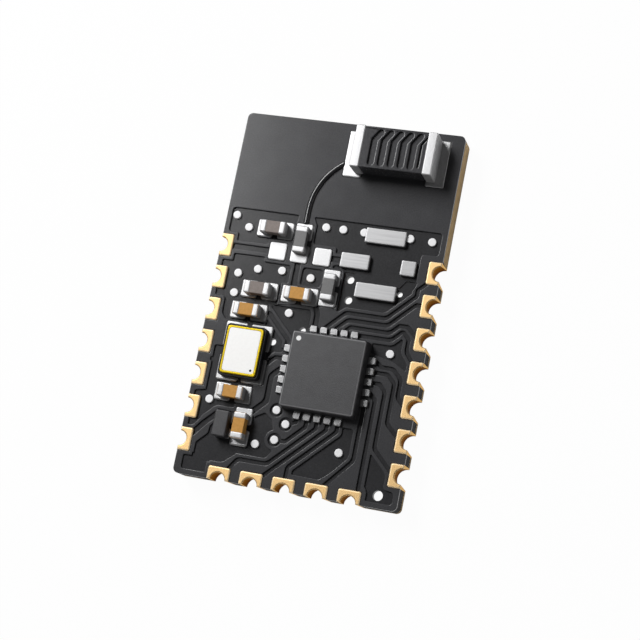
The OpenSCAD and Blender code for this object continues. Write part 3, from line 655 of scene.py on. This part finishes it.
# Index dot: white ink printed in the shallow seat beside the first lead. It fills the seat level with
# the top of the moulding.
ink_finish, _ = grained("white_ink", 20000, (0.94, 0.94, 0.935), (0.98, 0.98, 0.98), (0.5, 0.7))
dot = drum("chip_index_dot", dot_x, dot_y, dot_floor, chip_high, dot_radius)
round_over(dot, 0.006, 2, at_level(chip_high))
seat(dot, ink_finish, "index_paint", "ic_index_dot")


# Chip parts: sintered ceramic blocks with dipped silver and tin ends. Two capacitors are grey-brown
# and four are tan, and the resistors are flat and carry a dark grey glaze.
def ceramic(name, dark, light, rough, tooth_depth, sheen=0.15, scale=12000):
    finish, shader = grained(name, scale, dark, light, rough, tooth=(0.25, tooth_depth))
    shader.inputs["Specular IOR Level"].default_value = sheen
    return finish


end_finish, _ = grained("dipped_end", 13000, (0.53, 0.53, 0.535), (0.58, 0.58, 0.585), (0.43, 0.50),
                        0.55, (0.2, 0.000005))
brown_finish = ceramic("brown_fired_ceramic", (0.22, 0.186, 0.170), (0.27, 0.232, 0.214), (0.4, 0.55),
                       0.000004)
tan_finish = ceramic("tan_fired_ceramic", (0.53, 0.265, 0.060), (0.62, 0.32, 0.082), (0.36, 0.5), 0.000004)
glaze_finish = ceramic("dark_glaze", (0.125, 0.124, 0.124), (0.155, 0.153, 0.153), (0.35, 0.5),
                       0.000003, 0.4)
capacitor_size, resistor_size = (1.0, 0.49, 0.43), (1.04, 0.49, 0.31)


def chip_part(name, spot, long, wide, tall):
    skin, end_long = 0.015, 0.25
    low, high = land_top, land_top + tall
    body = block(f"{name}_ceramic", (-long / 2 + skin, -wide / 2 + skin, low + skin),
                 (long / 2 - skin, wide / 2 - skin, high - skin))
    round_over(body, 0.025, 3, lambda e: sharp(e) and abs(e.verts[0].co.x - e.verts[1].co.x) > 0.3)
    ends = []
    for s in (-1, 1):
        cap = block("cap", (s * long / 2 - (end_long if s > 0 else 0), -wide / 2, low),
                    (s * long / 2 + (end_long if s < 0 else 0), wide / 2, high))
        round_over(cap, 0.06, 4, sharp)
        ends.append(cap)
    pair = weld(f"{name}_ends", ends)
    x, y, turned = spot
    placed = [copy_to(body, f"{name}_body", x, y, turned), copy_to(pair, f"{name}_end_pair", x, y, turned)]
    bpy.data.objects.remove(body)
    bpy.data.objects.remove(pair)
    return placed


for k, spot in enumerate(capacitor_spots):
    body, ends = chip_part(f"capacitor_{k + 1}", spot, *capacitor_size)
    finish, slot = (brown_finish, "brown_ceramic") if k < 2 else (tan_finish, "tan_ceramic")
    seat(body, finish, slot, f"capacitor_body_{k + 1}")
    seat(ends, end_finish, "terminal", f"capacitor_terminals_{k + 1}")
for k, spot in enumerate(resistor_spots):
    body, ends = chip_part(f"resistor_{k + 1}", spot, *resistor_size)
    seat(body, glaze_finish, "resistor_coat", f"resistor_body_{k + 1}")
    seat(ends, end_finish, "terminal", f"resistor_terminals_{k + 1}")

# Moulded chip: a small black epoxy block with blunt edges, moulded like the radio chip and soldered on
# two lands beside the last capacitor.
x, y, _ = moulding_spot
small = plate("small_moulding", x, y, 0.55, 0.98, land_top, land_top + 0.42, 0.05, 0.05, 1)
seat(small, mould_finish, "mould", "moulded_chip")

# Crystal: a fired ceramic tray, a gold seal ring brazed on its rim and a thin metal lid welded
# inside the ring, with a small index dimple near one corner.
tray_high = land_top + 0.3
lid_high = tray_high + 0.08
tray_finish = ceramic("black_tray_ceramic", (0.018, 0.018, 0.020), (0.030, 0.030, 0.033), (0.4, 0.55),
                      0.000004, scale=14000)
tray_wide, tray_long = 1.6, 2.0
tray = plate("crystal_tray", crystal_x, crystal_y, tray_wide, tray_long, land_top, tray_high, 0.14, 0.03, 1)
seat(tray, tray_finish, "black_ceramic", "crystal_base")

ring_wide, ring_long = 1.44, 1.84
lid_wide, lid_long, lid_corner = 1.27, 1.67, 0.11
seal_finish, _ = grained("seal_gold", 12000, (0.43, 0.31, 0.004), (0.49, 0.355, 0.012), (0.3, 0.42), 0.8)
ring = plate("crystal_ring", crystal_x, crystal_y, ring_wide, ring_long, tray_high, lid_high,
             lid_corner, 0.03, 1)
carve(ring, plate("ring_bore", crystal_x, crystal_y, lid_wide, lid_long, tray_high - 0.1, lid_high + 0.1,
                  lid_corner, 0.02, 1))
round_over(ring, 0.015, 2, lambda e: at_level(lid_high)(e)
           and abs(e.verts[0].co.x - crystal_x) < lid_wide / 2 + 0.005
           and abs(e.verts[0].co.y - crystal_y) < lid_long / 2 + 0.005)
seat(ring, seal_finish, "seal_gold", "crystal_seal_ring")

lid_finish, shader = grained("rolled_lid", 9000, (0.89, 0.885, 0.87), (0.93, 0.925, 0.91), (0.46, 0.56),
                             0.15)
shader.inputs["Specular IOR Level"].default_value = 0.1
lid = plate("crystal_lid_plate", crystal_x, crystal_y, lid_wide, lid_long, tray_high, lid_high,
            lid_corner, 0.015, 1)
dimple_x, dimple_y, dimple_radius = crystal_x + 0.5, crystal_y - 0.7, 0.045
carve(lid, drum("dimple", dimple_x, dimple_y, lid_high - 0.02, lid_high + cut_past, dimple_radius))
# The dimple's faces take the black tray finish, painted shade in the dimple.
in_dimple = [math.hypot(f.center.x - dimple_x, f.center.y - dimple_y) < dimple_radius + 0.001
             and lid_high - 0.03 < f.center.z < lid_high - 0.001 for f in lid.data.polygons]
seat(lid, lid_finish, "lid_metal", "crystal_lid", patches=[(tray_finish, in_dimple)])

# Chip antenna: a black ceramic block with five bent slots and a thin sixth one pressed in its top, and
# a silver cap fired on each end. It stands on two long lands in the part of the board without copper.
slot_finish = ceramic("black_antenna_ceramic", (0.044, 0.044, 0.047), (0.053, 0.053, 0.057), (0.21, 0.26),
                      0.000002, 0.3)
skin, cap_long = 0.03, 0.36
antenna_long, antenna_wide, antenna_high = 3.16, 1.66, land_top + 0.99
block_top = antenna_high - skin
slot_floor = block_top - 0.09
half_long, half_wide = antenna_long / 2, antenna_wide / 2
antenna = block("antenna_block",
                (antenna_x - half_long + skin, antenna_y - half_wide + skin, land_top + skin),
                (antenna_x + half_long - skin, antenna_y + half_wide - skin, block_top))


def bent_slot(x, wide):
    near, knee, far = (x, -0.58), (x, 0.3), (x + 0.2, 0.6)
    past = block_top + 0.3
    cutters = []
    for px, py in (near, knee, far):
        cutters.append(drum("slot_end", antenna_x + px, antenna_y + py, slot_floor, past, wide / 2, sides=32))
    for a, b in ((near, knee), (knee, far)):
        reach = math.hypot(b[0] - a[0], b[1] - a[1])
        straight = block("slot_run", (-wide / 2, 0, slot_floor), (wide / 2, reach, past))
        cutters.append(copy_to(straight, "slot_run", antenna_x + a[0], antenna_y + a[1],
                               -math.degrees(math.atan2(b[0] - a[0], b[1] - a[1]))))
        bpy.data.objects.remove(straight)
    return weld("slot", cutters)


first_slot, slot_pitch, slot_wide, thin_slot_wide = -0.8, 0.383, 0.25, 0.07
for k in range(5):
    carve(antenna, bent_slot(first_slot + slot_pitch * k, slot_wide))
carve(antenna, bent_slot(first_slot + slot_pitch * 5 - (slot_wide - thin_slot_wide) / 2, thin_slot_wide))
into_triangles(antenna)
soften(antenna, 0.04, block_top, clamp=False)
seat(antenna, slot_finish, "antenna_ceramic", "antenna_body", level=True)

for s, side in ((-1, "left"), (1, "right")):
    outer = antenna_x + s * half_long
    inner = outer - s * cap_long
    cap = block(f"antenna_cap_{side}", (min(inner, outer), antenna_y - half_wide, land_top),
                (max(inner, outer), antenna_y + half_wide, antenna_high))
    round_over(cap, 0.045, 4, sharp)
    seat(cap, end_finish, "terminal", f"antenna_terminal_{side}")

# Feed line: a round black-coated lead laid in the coat, straight up from the first resistor's land
# and then in one arc to the antenna's left land.
feed_radius, feed_start, feed_turn, feed_bend = 0.11, 3.0, 3.559, 2.4
land_left = antenna_x + antenna_land_shift - antenna_land_step - antenna_land_wide / 2
feed_x = resistor_spots[0][0]
sweep = math.pi - math.acos((land_left + feed_radius - feed_x - feed_bend) / feed_bend)
feed_finish, _ = grained("satin_black_coat", 9000, (0.014, 0.014, 0.015), (0.024, 0.024, 0.026), (0.2, 0.28))
put_down()
bpy.ops.mesh.primitive_circle_add(vertices=32, radius=feed_radius, fill_type="NGON",
                                  location=(feed_x, feed_start, board_top), rotation=(math.pi / 2, 0, 0))
feed = bpy.context.object
feed.name = "antenna_feed_line"
settle()
bpy.ops.object.mode_set(mode="EDIT")
bpy.ops.mesh.select_mode(type="FACE")
bpy.ops.mesh.select_all(action="SELECT")
bpy.ops.mesh.extrude_region_move(TRANSFORM_OT_translate={"value": (0, feed_turn - feed_start, 0)})
bpy.ops.mesh.spin(steps=28, angle=sweep, center=(feed_x + feed_bend, feed_turn, board_top), axis=(0, 0, 1))
bpy.ops.mesh.select_all(action="SELECT")
bpy.ops.mesh.remove_doubles(threshold=0.0005)
bpy.ops.mesh.bisect(plane_co=(0, 0, board_top), plane_no=(0, 0, 1), use_fill=True, clear_inner=True)
bpy.ops.mesh.select_all(action="SELECT")
bpy.ops.mesh.bisect(plane_co=(land_left, 0, 0), plane_no=(1, 0, 0), use_fill=True, clear_outer=True)
bpy.ops.object.mode_set(mode="OBJECT")
seat(feed, feed_finish, "feed_coat", "feed_line")

# Floor: a plain pale sheet under the board. To the camera and to bright metal it is paper white,
# and a small share of it takes the light as it falls, so that the board's shadow stays on it.
put_down()
bpy.ops.mesh.primitive_plane_add(size=1.0, location=(0, 0, -0.00002))
floor = bpy.context.object
floor.name = "pale_floor"
floor_finish, tree, shader = new_finish("pale_sheet")
sheet = add_speckle(tree, 300, (0.80, 0.80, 0.80), (0.84, 0.84, 0.84))
tree.links.new(sheet.outputs["Colour"], shader.inputs["Base Color"])
shader.inputs["Roughness"].default_value = 0.9
shader.inputs["Specular IOR Level"].default_value = 0.0
paper = tree.nodes.new("ShaderNodeEmission")
ray = tree.nodes.new("ShaderNodeLightPath")
paper.inputs["Strength"].default_value = 1.0
shade = tree.nodes.new("ShaderNodeMixShader")
shade.inputs[0].default_value = 0.97
tree.links.new(shader.outputs[0], shade.inputs[1])
tree.links.new(paper.outputs[0], shade.inputs[2])
seen = tree.nodes.new("ShaderNodeMath")
seen.operation = "MAXIMUM"
tree.links.new(ray.outputs["Is Camera Ray"], seen.inputs[0])
tree.links.new(ray.outputs["Is Glossy Ray"], seen.inputs[1])
choice = tree.nodes.new("ShaderNodeMixShader")
tree.links.new(seen.outputs[0], choice.inputs[0])
tree.links.new(shader.outputs[0], choice.inputs[1])
tree.links.new(shade.outputs[0], choice.inputs[2])
tree.links.new(choice.outputs[0], tree.nodes["Material Output"].inputs["Surface"])
paint(floor, floor_finish)


# Studio light: one long soft box high on the left, which reaches from above the board to far beyond its
# antenna end, two low strips for the far rims and a dim surround, so that shadows are deep.
def soft_box(name, place, upward, wide, long, energy):
    away = place.normalized()
    sideways = upward.cross(away).normalized()
    bpy.ops.object.light_add(type="AREA")
    box = bpy.context.object
    box.name = name
    box.data.shape = "RECTANGLE"
    box.data.size = wide
    box.data.size_y = long
    box.data.energy = energy
    axes = Matrix((sideways, away.cross(sideways), away)).transposed().to_4x4()
    box.matrix_world = Matrix.Translation(place) @ axes
    box.visible_camera = False


world = bpy.data.worlds.new("studio")
bpy.context.scene.world = world
world.use_nodes = True
backdrop = world.node_tree.nodes["Background"]
backdrop.inputs["Color"].default_value = (1, 1, 1, 1)
ray = world.node_tree.nodes.new("ShaderNodeLightPath")
surround = spread(world.node_tree, ray.outputs["Is Camera Ray"], 0.0, 1.0, 0.08, 1.0)
world.node_tree.links.new(surround, backdrop.inputs["Strength"])
soft_box("key_box", Vector((-0.0505, 0.0435, 0.0715)), Vector((-0.35, 1, 0)), 0.028, 0.058, 0.1)
for k, low_place in enumerate((Vector((0.096, 0.010, 0.022)), Vector((-0.027, -0.093, 0.020)))):
    soft_box(f"low_strip_{k + 1}", low_place, Vector((0, 0, 1)), 0.10, 0.02, 0.009)
